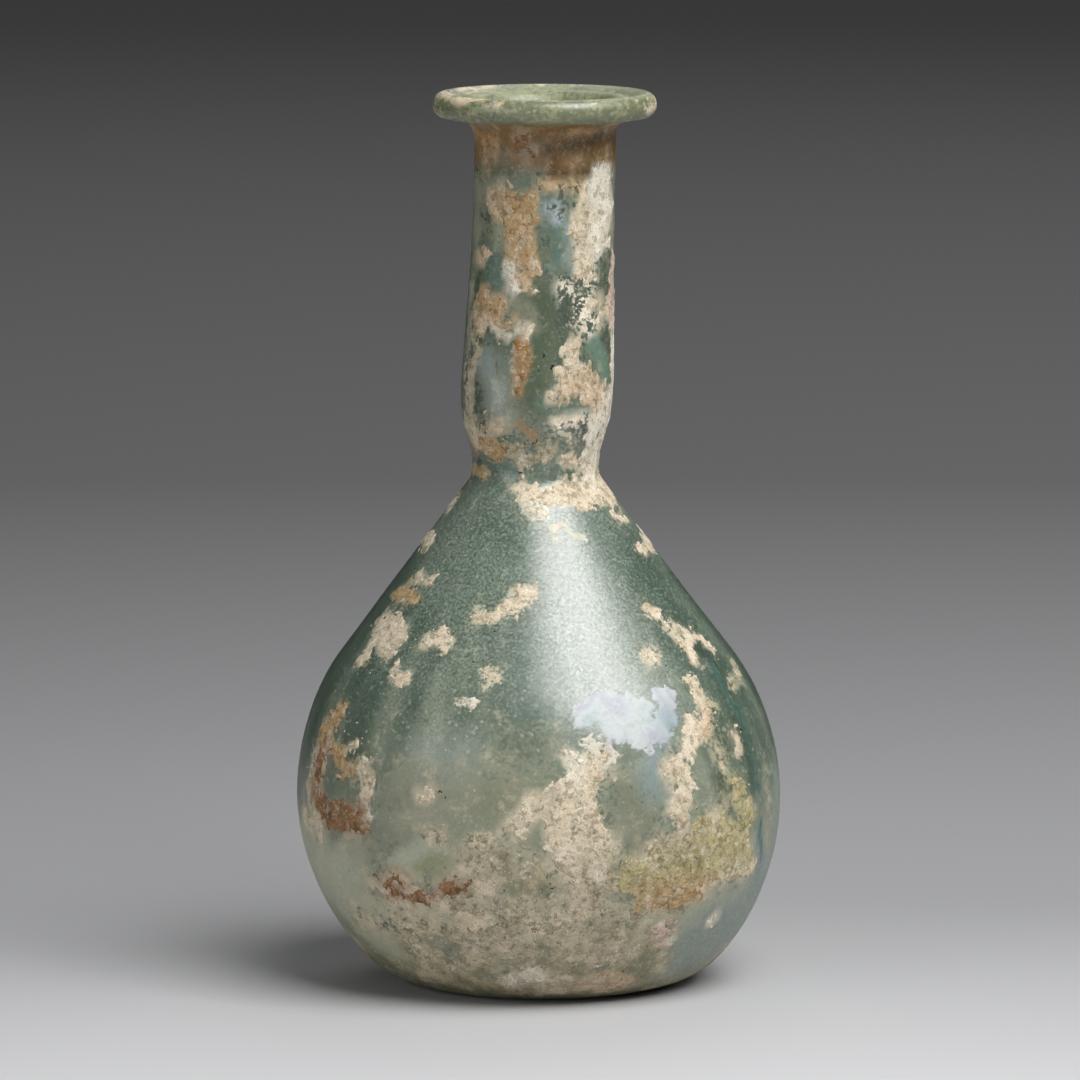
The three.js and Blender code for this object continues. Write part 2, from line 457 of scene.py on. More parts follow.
neckCrust = [
    ("bone", 3.0, 1, [(53, 119), (53, 112)]),
    ("cream", 1.9, 0.8, [(36, 115), (37, 111), (36, 107)]),
    ("pink", 1.1, 0.7, [(78, 108), (77, 104), (76, 98)]),
    ("cream", 1.3, 1, [(28, 95), (31, 92.5)]),
    ("peach", 1.5, 1, [(24, 89.5), (34, 90.5), (44, 89), (52, 87.5), (64, 86.5)]),
    ("cream", 0.9, 1, [(14, 88.5), (20, 90.5)]),
    ("bone", 2.8, 1, [(72, 86), (62, 83.5), (66, 80), (57, 77)]),
    ("bone", 2.0, 1, [(82, 97), (86, 91), (84, 85)]),
    ("cream", 1.4, 0.8, [(32, 78.5), (40, 78), (48, 77)]),
    ("tan", 2.0, 0.7, [(-33, 116), (-28, 114), (-20, 112)]),
    ("tan", 1.9, 1, [(-22, 110), (-17, 108), (-14, 106.5)]),
    ("peach", 0.7, 1, [(-18, 105.2), (-9, 104.6)]),
    ("bone", 0.7, 1, [(-29, 107.5), (-24, 105.5), (-23, 103.8)]),
    ("tan", 1.2, 0.7, [(-12, 116), (-8, 114)]),
    ("peach", 1.4, 0.6, [(-45, 117), (-36, 118)]),
    ("peach", 0.8, 1, [(-61, 108.5), (-56, 108)]),
    ("tan", 1.5, 1, [(-52, 102), (-44, 102), (-36, 101.5)]),
    ("peach", 1.3, 1, [(-60, 99.5), (-52, 98), (-46, 99)]),
    ("tan", 0.8, 1, [(-40, 99.5), (-30, 99), (-23, 99.3)]),
    ("bone", 0.4, 1, [(-38, 98.3), (-24, 97.3)]),
    ("sand", 0.9, 0.2, [(-62, 96.5), (-55, 95)]),
    ("amber", 1.3, 1, [(-12, 95), (-13, 92), (-14, 89.5)]),
    ("cream", 0.4, 1, [(-18, 97.5), (-12, 98.3), (-9.5, 96.5)]),
    ("sand", 0.6, 1, [(-18, 94), (-17, 90)]),
    ("sand", 1.1, 0.1, [(-60, 93), (-62, 88), (-60, 84)]),
    ("peach", 0.9, 0.2, [(-36, 84), (-26, 83.5)]),
    ("tan", 1.0, 0.3, [(-68, 81), (-50, 80.5), (-38, 80)]),
    ("sand", 0.9, 0.2, [(-20, 79.5), (-5, 78.5), (15, 80)]),
    ("rust", 1.0, 0.5, [(-20, 125.5), (-14, 123.5)]),
    ("cream", 1.0, 0.8, [(36, 76), (60, 76.4), (90, 77)]),
    ("tan", 0.7, 0.3, [(-85, 76.5), (-50, 76)]),
]


backCrust = [
    ("cream", 2.2, 0.8, [(118, 52), (126, 49), (130, 44)]),
    ("cream", 1.3, 0.9, [(150, 61), (158, 59), (168, 60)]),
    ("sand", 3.2, 0.4, [(138, 25), (156, 20), (172, 22)]),
    ("tan", 2.4, 0.7, [(-124, 31), (-132, 25), (-128, 19)]),
    ("cream", 1.3, 0.9, [(-152, 56), (-143, 52)]),
    ("cream", 1.7, 0.8, [(-108, 48), (-118, 43), (-116, 37)]),
    ("ochre", 2.6, 0.5, [(-165, 17), (-152, 14)]),
    ("peach", 2.0, 1.2, [(95, 73.6), (120, 74), (146, 75)]),
    ("cream", 1.1, 0.7, [(-100, 74.8), (-130, 75)]),
    ("bone", 2.2, 0.5, [(118, 119), (124, 109), (120, 98)]),
    ("tan", 1.7, 0.7, [(163, 113), (170, 104)]),
    ("peach", 1.4, 0.7, [(148, 90), (158, 87), (170, 88)]),
    ("cream", 1.7, 0.6, [(-152, 101), (-146, 92), (-150, 84)]),
    ("sand", 1.8, 0.6, [(-112, 113), (-106, 104)]),
]


def nearStroke(stops, turn, way, radius):  # mm from each place to a stroke's line
    spots = [(angle, side.wayAt(level)) for angle, level in stops]
    best = np.full(len(turn), 1e9)
    for (angleA, wayA), (angleB, wayB) in zip(spots, spots[1:] or spots):
        across = ((turn - angleA + 180) % 360 - 180) * np.pi / 180 * radius
        up = way - wayA
        alongX, alongY = (angleB - angleA) * np.pi / 180 * radius, wayB - wayA
        share = np.clip((across * alongX + up * alongY) / (alongX**2 + alongY**2 + 1e-9), 0, 1)
        best = np.minimum(best, np.hypot(across - share * alongX, up - share * alongY))
    return best


def strokeField(strokes, turn, way, edge):  # how deep inside its strokes each place is, and their colour
    radius = side.at(way)[0]
    depth = np.full(len(turn), -9.0)
    colour = np.zeros((len(turn), 3))
    weight = np.full(len(turn), 1e-6)
    for tone, width, whole, stops in strokes:
        inside = np.minimum((width - nearStroke(stops, turn, way, radius)) / edge, whole * 0.55)
        depth = np.maximum(depth, inside)
        pull = np.clip(inside + 0.9, 0, 1.2) ** 3
        colour += pull[:, None] * np.array(tones[tone])
        weight += pull
    return depth, colour / weight[:, None]


crust = {
    "cell": 0.18,  # mm
    "thickness": 0.075,
    "under": -0.12,  # its hidden underside, inside the wall
    "slope": 0.25,
    "edge": 1.5,  # how far in from a stroke's side the crust is whole
    "bend": 1.1,
    "bendSize": 3.4,
    "fray": 0.35,
    "fraySize": 0.9,
    "ragged": 1.2,
    "raggedSize": 2.6,
    "pits": 2.0,
    "pitSize": 1.5,
    "tall": 0.65,  # how far the patterns on the neck are drawn out upwards
}


def drawnOut(spot):
    long = spot.copy()
    long[:, 2] -= np.clip(spot[:, 2] - 76, 0, None) * (1 - crust["tall"])
    return long


def pits(points, size):  # 1 in the middle of a pit, falling to 0 at its side
    near = np.array([noise.voronoi(Vector(p) / size)[0][0] for p in points])
    return np.clip(1 - near / 0.42, 0, 1)


def meshFrom(name, points, faces, material, smooth):
    mesh = bpy.data.meshes.new(name)
    mesh.from_pydata((points * mm).tolist(), [], faces.tolist())
    mesh.polygons.foreach_set("use_smooth", smooth)
    mesh.materials.append(material)
    made = bpy.data.objects.new(name, mesh)
    bpy.context.collection.objects.link(made)
    return made


def setColour(mesh, name, values):
    layer = mesh.attributes.new(name, "FLOAT_COLOR", "POINT")
    layer.data.foreach_set("color", np.column_stack((values, np.ones(len(values)))).ravel())


def setNumber(mesh, name, values):
    mesh.attributes.new(name, "FLOAT", "POINT").data.foreach_set("value", np.asarray(values, float))


def setMap(mesh, across, up):  # the OFBake map, given for each corner of each face
    corner = np.empty(len(mesh.loops), int)
    mesh.loops.foreach_get("vertex_index", corner)
    layer = mesh.uv_layers.new(name="OFBake")
    layer.data.foreach_set("uv", np.column_stack((across[corner], up[corner])).ravel())


def crustField(strokes, turn, way, look):  # above 0 where there is crust, and its tone
    depth = strokeField(strokes, turn, way, look["edge"])[0]
    near = np.flatnonzero(depth > -1.6)
    turn, way = turn[near], way[near]
    spot = side.place(turn, way, 0)
    shift = wander(spot, look["bendSize"], 3, seed=2) * look["bend"]
    shift = shift + wander(spot, look["fraySize"], 2, seed=7) * look["fray"]
    turn = turn + np.degrees(shift[:, 0] / side.at(way)[0])
    bent, tone = strokeField(strokes, turn, way + shift[:, 1], look["edge"])
    long = drawnOut(spot)
    rough = grain(long, look["raggedSize"], 6, seed=3, rough=0.45)
    solid = np.maximum(bent + look["ragged"] * rough, bent * 0.9 - 0.26)
    colour = np.zeros((len(depth), 3))
    colour[near] = tone
    field = np.full(len(depth), -1.0)
    field[near] = solid - look["pits"] * pits(long, look["pitSize"])
    return field, colour


def closedShell(quads, count):  # the quads, the same facing inwards, and the walls round their open edges
    direction = np.vstack([quads[:, [i, (i + 1) % 4]] for i in range(4)])
    keys = np.sort(direction, axis=1) @ np.array([count, 1])
    first, times = np.unique(keys, return_index=True, return_counts=True)[1:]
    rim = direction[first[times == 1]]
    walls = np.column_stack((rim[:, 1], rim[:, 0], rim[:, 0] + count, rim[:, 1] + count))
    return np.vstack((quads, quads[:, ::-1] + count, walls))


def makeCrust(name, strokes, turns, heights, material, look=crust):
    strokes = [s for s in strokes if any(heights[0] - 6 < level < heights[1] + 6 for _, level in s[3])]
    wayLow, wayHigh = side.wayAt(heights[0]), side.wayAt(heights[1])
    middle = side.at((wayLow + wayHigh) / 2)[0]
    columns = int((turns[1] - turns[0]) * math.pi / 180 * middle / look["cell"])
    rows = int((wayHigh - wayLow) / look["cell"])
    column, row = np.meshgrid(np.linspace(*turns, columns + 1), np.linspace(wayLow, wayHigh, rows + 1))
    turn, way = column.ravel(), row.ravel()
    field, colour = crustField(strokes, turn, way, look)
    grid = (field > 0).reshape(rows + 1, columns + 1)
    touched = grid[:-1, :-1] | grid[1:, :-1] | grid[:-1, 1:] | grid[1:, 1:]
    low, left = np.nonzero(touched)
    corner = low * (columns + 1) + left
    quads = np.column_stack((corner, corner + 1, corner + columns + 2, corner + columns + 1))
    used, quads = np.unique(quads, return_inverse=True)
    quads = quads.reshape(-1, 4)
    turn, way, colour, field = turn[used], way[used], colour[used], field[used]
    flat = side.place(turn, way, 0)
    lump = grain(flat, 1.1, 3, seed=5) * 0.5 + grain(flat, 0.35, 2, seed=6) * 0.3
    top = look["thickness"] * (1.1 + lump)
    stand = np.clip(np.minimum(field * look["slope"], top), look["under"] * 0.6, None)
    above = side.place(turn, way, stand)
    below = side.place(turn, way, np.full(len(turn), look["under"]))
    above[:, 2] = np.maximum(above[:, 2], 0.02)
    below[:, 2] = np.maximum(below[:, 2], 0.05)
    faces = closedShell(quads, len(turn))
    made = meshFrom(name, np.vstack((above, below)), faces, material, np.arange(len(faces)) < len(quads))
    # the hidden underside and the side walls get the tone at 0.6: a darker copy, painted shade under the
    # crust
    setColour(made.data, "tone", np.vstack((colour, colour * 0.6)))
    setNumber(made.data, "inside", np.concatenate((field, field * 0)))
    across = (turn - turns[0]) / (turns[1] - turns[0])
    up = (way - wayLow) / (wayHigh - wayLow)
    setMap(made.data, np.concatenate((across, across)), np.concatenate((up * 0.9, 0.92 + up * 0.08)))
    print(name, "has", 2 * len(faces), "triangles")
    return made


def crustMaterial():
    s = Shader("weatheringCrust")
    where = s.place()
    tone = s.attribute("tone", out="Color")
    inside = s.attribute("inside")
    blotch = s.speckle(where, 3.2 * mm, 7, 0.68, 0.3)
    spots = s.speckle(where, 1.5 * mm, 6, 0.7)
    grit = s.speckle(where, 0.7 * mm, 4, 0.7)
    fine = s.speckle(where, 0.2 * mm, 2, 0.6)
    deep = s.blend(1.0, tone, (0.34, 0.32, 0.24, 1), "MULTIPLY")
    pale = s.blend(0.6, tone, (*rgb(240, 234, 220), 1))
    # darker towards the crust's borders and round its pits: partly brown rims, partly painted shade in the
    # hollows
    edge = 1 - (inside + (grit - 0.5)).over(0.0, 0.45)
    colour = s.blend(blotch.over(0.52, 0.64) * 0.35, tone, deep)
    colour = s.blend(blotch.over(0.47, 0.36) * 0.55, colour, pale)
    colour = s.blend(edge * 0.35, colour, deep)
    colour = s.blend(spots.over(0.53, 0.60) * 0.65, colour, deep)
    colour = s.blend(spots.over(0.43, 0.37) * 0.6, colour, pale)
    colour = s.blend(fine.over(0.53, 0.64) * 0.5, colour, deep)
    colour = s.blend(grit.over(0.42, 0.34) * 0.5, colour, pale)
    colour = s.blend(grit.over(0.56, 0.64) * 0.6, colour, deep)
    surface = s.node("ShaderNodeBsdfPrincipled", {}, {
        "Base Color": colour,
        "Roughness": 0.72 + 0.2 * grit,
        "IOR": 1.45,
        "Normal": s.bump(grit * 0.8 + fine * 0.4, 0.5, 0.12 * mm),
    })
    return s.finish(surface)


chalk = crustMaterial()
crustStrokes = bellyCrust + shoulderCrust + neckCrust + backCrust
crustPieces = {  # turn and height that each covers
    "crust_foot": ((-180, 180), (0.3, 20.2)),
    "crust_belly": ((-180, 180), (20, 41.2)),
    "crust_shoulder": ((-180, 180), (41, 84.2)),
    "crust_neck": ((-180, 180), (84, 128.3)),
}
for name, (turns, heights) in crustPieces.items():
    piece = makeCrust(name, crustStrokes, turns, heights, chalk)
    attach(piece, "root")

silverLeaf = [
    ("silver", 2.3, 1, [(13, 44.3), (20, 44.8), (28, 44.2)]),
    ("silver", 2.4, 1, [(19, 42.4), (26, 42), (31, 41)]),
    ("silver", 1.2, 1, [(35, 46.2), (38, 45.4)]),
    ("lilac", 1.8, 1, [(36, 44), (34, 42), (32, 40.5)]),
    ("silver", 1.2, 0.6, [(24, 40.4), (28, 39.6)]),
    ("bone", 1.2, 0.1, [(14, 40), (18, 38)]),
    ("bone", 0.9, 1, [(12, 68.8), (18, 69.4)]),
    ("bone", 0.6, 1, [(4, 67), (11, 67)]),
    ("bone", 0.8, 0.8, [(23, 68), (30, 67.4)]),
]
leafLook = dict(crust, thickness=0.05, ragged=0.6, raggedSize=1.4, pits=0.2)


def silverMaterial():
    s = Shader("silverFilm")
    where = s.place()
    cloud = s.speckle(where, 5 * mm, 3, 0.5, 0.6)
    fine = s.speckle(where, 0.45 * mm, 3, 0.6)
    tint = s.node("ShaderNodeValToRGB", {"stops": [
        (0.30, rgb(196, 208, 206)),
        (0.45, rgb(222, 224, 222)),
        (0.58, rgb(206, 204, 212)),
        (0.70, rgb(226, 223, 218)),
    ]}, {0: cloud})
    tint = s.blend(1.0, tint, s.attribute("tone", out="Color"), "MULTIPLY")
    surface = s.node("ShaderNodeBsdfPrincipled", {}, {
        "Base Color": s.blend(fine.over(0.6, 0.75) * 0.4, tint, (*rgb(130, 132, 126), 1)),
        "Roughness": 0.5 + 0.2 * fine,
        "Metallic": 0.15,
        "Normal": s.bump(fine, 0.35, 0.06 * mm),
    })
    return s.finish(surface)


leaf = makeCrust("silver_leaf", silverLeaf, (-10, 60), (34, 71), silverMaterial(), leafLook)
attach(leaf, "root")


class Recipe:  # a geometry node tree with named inputs
    def __init__(self, name, inputs):
        self.tree = bpy.data.node_groups.new(name, "GeometryNodeTree")
        self.tree.is_modifier = True
        face = self.tree.interface
        face.new_socket("Geometry", in_out="INPUT", socket_type="NodeSocketGeometry")
        for label, (kind, default) in inputs.items():
            socket = face.new_socket(label, in_out="INPUT", socket_type=kind)
            if default is not None:
                socket.default_value = default
        face.new_socket("Material", in_out="INPUT", socket_type="NodeSocketMaterial")
        face.new_socket("Geometry", in_out="OUTPUT", socket_type="NodeSocketGeometry")
        self.start = self.tree.nodes.new("NodeGroupInput")

    def given(self, label):
        return self.start.outputs[label]

    def node(self, kind, settings=None, sockets=None, out=0):
        made = self.tree.nodes.new(kind)
        for key, value in (settings or {}).items():
            setattr(made, key, value)
        for key, value in (sockets or {}).items():
            if isinstance(value, bpy.types.NodeSocket):
                self.tree.links.new(value, made.inputs[key])
            else:
                made.inputs[key].default_value = value
        return made.outputs[out]

    def finish(self, geometry):
        real = self.node("GeometryNodeRealizeInstances", {}, {"Geometry": geometry})
        material = self.given("Material")
        done = self.node("GeometryNodeSetMaterial", {}, {"Geometry": real, "Material": material})
        end = self.tree.nodes.new("NodeGroupOutput")
        self.tree.links.new(done, end.inputs[0])

    def grow(self, base, name, values):
        modifier = base.modifiers.new(self.tree.name, "NODES")
        modifier.node_group = self.tree
        for item in self.tree.interface.items_tree:
            if item.in_out == "INPUT" and item.name in values:
                modifier[item.identifier] = values[item.name]
        mesh = bpy.data.meshes.new_from_object(base.evaluated_get(bpy.context.evaluated_depsgraph_get()))
        base.modifiers.remove(modifier)
        mesh.materials.clear()  # the base's own slots come along
        mesh.materials.append(values["Material"])
        made = bpy.data.objects.new(name, mesh)
        bpy.context.collection.objects.link(made)
        return made


def turningRecipe():  # turns an outline, given as a chain of points, about the vertical
    r = Recipe("turnedOutline", {"Facets": ("NodeSocketInt", 64)})
    outline, facets = r.given("Geometry"), r.given("Facets")
    rows = r.node("GeometryNodeAttributeDomainSize", {"component": "MESH"}, {"Geometry": outline})
    columns = r.node("FunctionNodeIntegerMath", {"operation": "ADD"}, {0: facets, 1: 1})
    grid = r.node("GeometryNodeMeshGrid", {}, {"Vertices X": columns, "Vertices Y": rows})
    index = r.node("GeometryNodeInputIndex")
    row = r.node("FunctionNodeIntegerMath", {"operation": "MODULO"}, {0: index, 1: rows})
    column = r.node("FunctionNodeIntegerMath", {"operation": "DIVIDE_FLOOR"}, {0: index, 1: rows})
    spot = r.node("GeometryNodeSampleIndex", {"data_type": "FLOAT_VECTOR"},
                  {"Geometry": outline, "Value": r.node("GeometryNodeInputPosition"), "Index": row})
    isInner = r.node("GeometryNodeInputNamedAttribute", {"data_type": "FLOAT"}, {"Name": "inner"})
    inner = r.node("GeometryNodeSampleIndex", {"data_type": "FLOAT"},
                   {"Geometry": outline, "Value": isInner, "Index": row})
    share = r.node("ShaderNodeMath", {"operation": "DIVIDE"}, {0: column, 1: facets})
    turn = r.node("ShaderNodeMath", {"operation": "MULTIPLY"}, {0: share, 1: 2 * math.pi})
    turned = r.node("ShaderNodeVectorRotate", {"rotation_type": "Z_AXIS"}, {"Vector": spot, "Angle": turn})
    mapped = r.node("GeometryNodeStoreNamedAttribute", {"data_type": "FLOAT2", "domain": "CORNER"},
                    {"Geometry": grid, "Name": "OFBake", "Value": grid.node.outputs["UV Map"]})
    marked = r.node("GeometryNodeStoreNamedAttribute", {"data_type": "FLOAT", "domain": "POINT"},
                    {"Geometry": mapped, "Name": "inner", "Value": inner})
    placed = r.node("GeometryNodeSetPosition", {}, {"Geometry": marked, "Position": turned})
    closed = r.node("GeometryNodeMergeByDistance", {}, {"Geometry": placed, "Distance": 1e-6})
    smooth = r.node("GeometryNodeSetShadeSmooth", {}, {"Geometry": closed})
    r.finish(smooth)
    return r


# Film on the glass, laid in order like paint: tone, half width, cover, share of the width that fades,
# and the places it runs through.
outerFilm = [
    ("haze", 13, 0.2, 0.8, [(-62, 38), (-15, 38)]),
    # blue-grey low on the right: painted reflection of a pale card to the right
    ("slate", 10, 0.75, 0.6, [(50, 8), (75, 12), (110, 14)]),
    ("leaf", 8.5, 0.85, 0.5, [(-75, 20), (-58, 17), (-50, 12)]),
    ("olive", 8.5, 0.92, 0.35, [(-32, 8), (-12, 9), (8, 9), (26, 7)]),
    ("sand", 5.0, 0.8, 0.6, [(-25, 12), (-8, 13), (10, 14)]),
    ("olive", 4, 0.8, 0.5, [(-14, 22), (0, 20)]),
    ("drab", 4.6, 0.7, 0.6, [(22, 34), (24, 27)]),
    ("lime", 2.7, 0.95, 0.5, [(-28.5, 22), (-24.5, 22)]),
    ("leaf", 1.8, 0.8, 0.6, [(-36, 21.5), (-30, 24.5), (-24, 26)]),
    ("teal", 2.4, 0.1, 1.0, [(61, 52), (62, 42), (63.5, 31)]),
    ("teal", 2.2, 0.2, 1.0, [(66, 25), (70, 18)]),
    # bare, darker glass in bands down the outline's left and right as seen from the front: painted shade of
    # the edges
    ("teal", 6.5, 0.0, 1.0, [(-84, 62), (-84, 32)]),
    ("teal", 5.0, 0.05, 1.0, [(86, 60), (84, 36)]),
    ("denim", 4.6, 0.85, 1.0, [(31, 43), (30, 38), (28, 34)]),
    # these two blue-grey strokes low on the right: painted reflection of a pale card to the right
    ("denim", 3.2, 0.9, 1.0, [(66, 24), (72, 17), (80, 13)]),
    ("denim", 4.0, 0.6, 1.0, [(80, 32), (80, 20)]),
    ("moss", 2.6, 0.6, 0.8, [(52, 44), (50, 37), (49, 30)]),
    ("lagoon", 1.3, 0.95, 1.0, [(60.5, 49), (62.5, 40), (64.5, 30)]),
    ("lagoon", 1.0, 0.9, 1.0, [(66.5, 26), (69, 20)]),
    # grey film along the shoulder's highlight: partly real grey film, partly painted highlight whitening the
    # key light's reflection
    ("ash", 6.0, 0.65, 1.0, [(12, 67), (17, 58), (21, 49)]),
    ("drab", 5.0, 0.6, 1.0, [(-10, 41), (2, 40)]),
    ("drab", 8.5, 1.0, 1.0, [(-32, 32), (-4, 32)]),
    ("sand", 4.5, 0.8, 1.0, [(-44, 17), (-14, 19)]),
    ("sand", 4.0, 0.6, 1.0, [(-56, 12), (-34, 12)]),
    ("tan", 0.9, 0.8, 0.7, [(-95, 129.2), (-72, 128.8)]),
    ("cream", 1.1, 0.7, 0.8, [(64, 130.5), (78, 129.8), (90, 130.5)]),
    ("sand", 1.3, 0.7, 0.8, [(-150, 131.9), (-70, 131.7), (-25, 131.9)]),
    ("brown", 4.4, 0.95, 0.35, [(-180, 126), (-90, 125.5), (0, 125.5), (90, 125.5), (180, 126)]),
    ("umber", 1.3, 0.95, 0.8, [(-6, 125), (10, 124), (30, 125), (52, 126)]),
    ("umber", 0.9, 0.95, 0.8, [(-40, 124), (-28, 123.5)]),
    ("amber", 1.1, 0.9, 0.8, [(-70, 126.5), (-52, 126), (-44, 124.5)]),
    ("rust", 0.9, 0.9, 0.7, [(-22, 125.5), (-13, 123)]),
    ("amber", 0.8, 0.9, 0.8, [(20, 126.8), (40, 127)]),
    ("tan", 0.9, 0.8, 0.8, [(-58, 122.5), (-45, 121.5)]),
    ("rust", 0.8, 0.9, 0.7, [(16, 122.5), (30, 121.8)]),
    ("pine", 1.6, 0.9, 0.8, [(-48, 120.5), (-30, 121), (-14, 120)]),
    ("umber", 1.5, 0.9, 0.8, [(2, 122), (20, 120.5), (34, 120.5)]),
    ("slate", 3.4, 0.9, 0.9, [(-46, 94), (-38, 91), (-30, 86)]),
    ("slate", 2.6, 0.8, 0.8, [(-6, 115.5), (8, 116), (20, 113), (26, 108)]),
    ("lilac", 1.2, 0.5, 1.0, [(8, 115.5), (18, 113.5)]),
    ("slate", 1.6, 0.7, 0.8, [(8, 107.5), (20, 108.5)]),
    ("bone", 3.2, 0.5, 0.7, [(40, 108), (34, 102), (44, 98)]),
    ("bone", 2.2, 0.4, 0.8, [(18, 104), (24, 100)]),
    ("bone", 2.4, 0.5, 0.8, [(16, 84), (30, 84), (47, 85)]),
    ("haze", 3.0, 0.85, 0.9, [(-72, 119), (-66, 108)]),
    ("haze", 2.2, 0.8, 0.9, [(-46, 119), (-42, 111)]),
    ("haze", 2.0, 0.8, 0.9, [(72, 119), (74, 108)]),
    ("cream", 2.2, 0.9, 0.7, [(46, 101.5), (60, 100.5), (78, 99.5)]),
    ("bone", 1.4, 0.4, 0.8, [(-74, 104), (-72, 92), (-66, 84)]),
    ("amber", 1.6, 0.6, 0.8, [(-72, 79.5), (-45, 80)]),
    ("olive", 2.2, 0.6, 0.6, [(-70, 83), (-40, 82), (10, 80.5)]),
    ("amber", 0.9, 0.8, 0.8, [(-17, 84), (-6, 82.5), (2, 82)]),
    ("tan", 1.4, 0.5, 0.8, [(-4, 119), (20, 119.5), (40, 118.5)]),
    ("tan", 2.6, 0.9, 0.5, [(-40, 116.5), (-26, 113), (-18, 109)]),
    ("pine", 3.4, 0.9, 0.8, [(0, 103), (2, 97), (-2, 92), (-2, 87)]),
    ("pine", 2.4, 0.9, 0.8, [(-30, 96), (-22, 95.5)]),
    ("pane", 1.0, 0.9, 0.8, [(-15, 118.6), (-6, 118.4)]),
    ("pane", 1.3, 0.9, 0.8, [(-3, 117.4), (3, 117)]),
    ("pane", 0.9, 0.9, 0.8, [(-13, 112.3), (-8, 111.6)]),
    ("pane", 1.6, 0.9, 0.7, [(8, 113), (14, 111.5), (10, 108)]),
    ("jade", 1.3, 0.9, 0.7, [(16, 112.5), (24, 112)]),
    ("pane", 2.6, 0.95, 0.6, [(-56, 109), (-44, 107), (-35, 104)]),
    ("drab", 2.2, 0.95, 0.6, [(-26, 102.5), (-14, 101), (-10, 98.5)]),
    ("haze", 2.0, 0.7, 0.8, [(-72, 104), (-74, 94)]),
    ("jade", 2.3, 0.95, 0.5, [(49, 94.8), (58, 92.8), (63, 90.5)]),
    ("pane", 1.6, 0.95, 0.8, [(4, 87), (18, 87), (26, 86.5)]),
    ("pane", 1.2, 0.9, 0.7, [(37, 87.5), (45, 86)]),
    ("pane", 1.6, 0.95, 0.6, [(-36, 78), (-14, 77)]),
    ("pane", 1.6, 0.95, 0.6, [(12, 79.5), (30, 78.5)]),
    ("teal", 1.1, 0.0, 0.8, [(-63, 77.5), (-60, 77.5)]),
]
baseFilm = [  # height, tone, cover: what the strokes are laid over
    (0, "moss", 0.8), (3, "olive", 0.8), (12, "leaf", 0.7), (26, "haze", 0.55), (44, "mist", 0.3),
    (60, "mist", 0.25), (74, "mist", 0.3), (82, "drab", 0.55), (100, "pine", 0.5), (120, "drab", 0.6),
    (128, "lime", 0.4), (132, "lime", 0.5),
]
veil = {  # the thin even haze under everything, by height: how much it hides, and its colour
    "cover": [(0, 0.6), (20, 0.66), (45, 0.62), (70, 0.55), (80, 0.5), (126, 0.5), (129, 0.6), (132, 0.65)],
    "streaks": [(0, 0), (20, 0.1), (30, 0.4), (50, 0.5), (60, 0.1), (72, 0), (78, 0.4), (126, 0.3), (129, 0)],
    "tone": [(0, "haze"), (20, "haze"), (45, "mist"), (74, "mist"), (84, "pane"), (126, "pane"),
             (129, "lime")],
    "dim": [  # soft dark streaks, and a broad painted shade over the right of the belly: half width, depth, route
        (3.6, 0.9, [(-71, 60), (-77, 34)]),
        (2.6, 0.75, [(-57, 57), (-65, 38)]),
        (2.6, 0.6, [(-45, 56), (-52, 36)]),
        (2.0, 0.5, [(-32, 52), (-39, 35)]),
        (1.8, 0.35, [(-19, 46), (-25, 33)]),
        (2.4, 0.8, [(61, 54), (63, 31)]),
        # painted shade: a broad darkening over the right of the belly, round its dark teal streak
        (9.0, 0.75, [(60, 62), (62, 34)]),
        (4.0, 0.5, [(-2, 60), (2, 44)]),
        (4.5, 0.4, [(22, 33), (24, 27)]),
        (4.0, 0.35, [(34, 68), (50, 57)]),
        (3.0, 0.35, [(-30, 70), (-8, 66)]),
    ],
    "bare": rgb(74, 106, 88),
    "pale": rgb(162, 168, 146),
    "dark": rgb(66, 92, 80),
}

# how far each tone's film breaks up, takes other tones and holds crumbs
gritty = {"bone": 1, "sand": 1, "tan": 1, "olive": 0.9, "moss": 0.9, "cream": 1, "haze": 0.25, "leaf": 0.1,
          "amber": 0.4, "rust": 0.4, "brown": 0.3, "umber": 0.2, "drab": 0.15}


def toneAt(stops, height):
    levels, names = zip(*stops)
    parts = np.array([tones[name] for name in names]).T
    return np.column_stack([np.interp(height, levels, part) for part in parts])


def layFilm(turn, way, height):
    levels, names, amounts = zip(*baseFilm)
    cover = np.interp(height, levels, amounts)
    colour = toneAt(list(zip(levels, names)), height)
    grit = np.interp(height, levels, [gritty.get(name, 0) for name in names])
    murk = np.ones(len(turn))  # less of the veil where the glass shows dark
    radius = side.at(way)[0]
    for tone, width, amount, fade, stops in outerFilm:
        laid = np.clip((1 - nearStroke(stops, turn, way, radius) / width) / fade, 0, 1)
        cover = cover * (1 - laid) + amount * laid
        colour = colour * (1 - laid[:, None]) + np.array(tones[tone]) * laid[:, None]
        grit = grit * (1 - laid) + gritty.get(tone, 0) * laid
        murk = murk * (1 - laid) + (0.55 if tone == "teal" else 1) * laid
    depth, tint = strokeField(crustStrokes, turn, way, crust["edge"])  # a broken border round the crust
    reach = np.interp(height, [70, 80], [1, 0.35])
    laid = np.clip((depth + reach) * 0.65 / reach, 0, 0.8)
    cover, grit = np.maximum(cover, laid), np.maximum(grit, laid)
    laid = laid[:, None]
    return cover, colour * (1 - laid) + tint * laid, grit, murk


crumbs = {  # low grains stuck to the wall
    "size": 0.13,  # mm
    "spread": 0.1,
    "flat": 0.28,
    "many": 8.0e5,  # to a square metre where the film is gritty
    "few": 6.0e3,
    "paler": 0.4,  # than the film that each grain sits on
    "seed": 4,
}


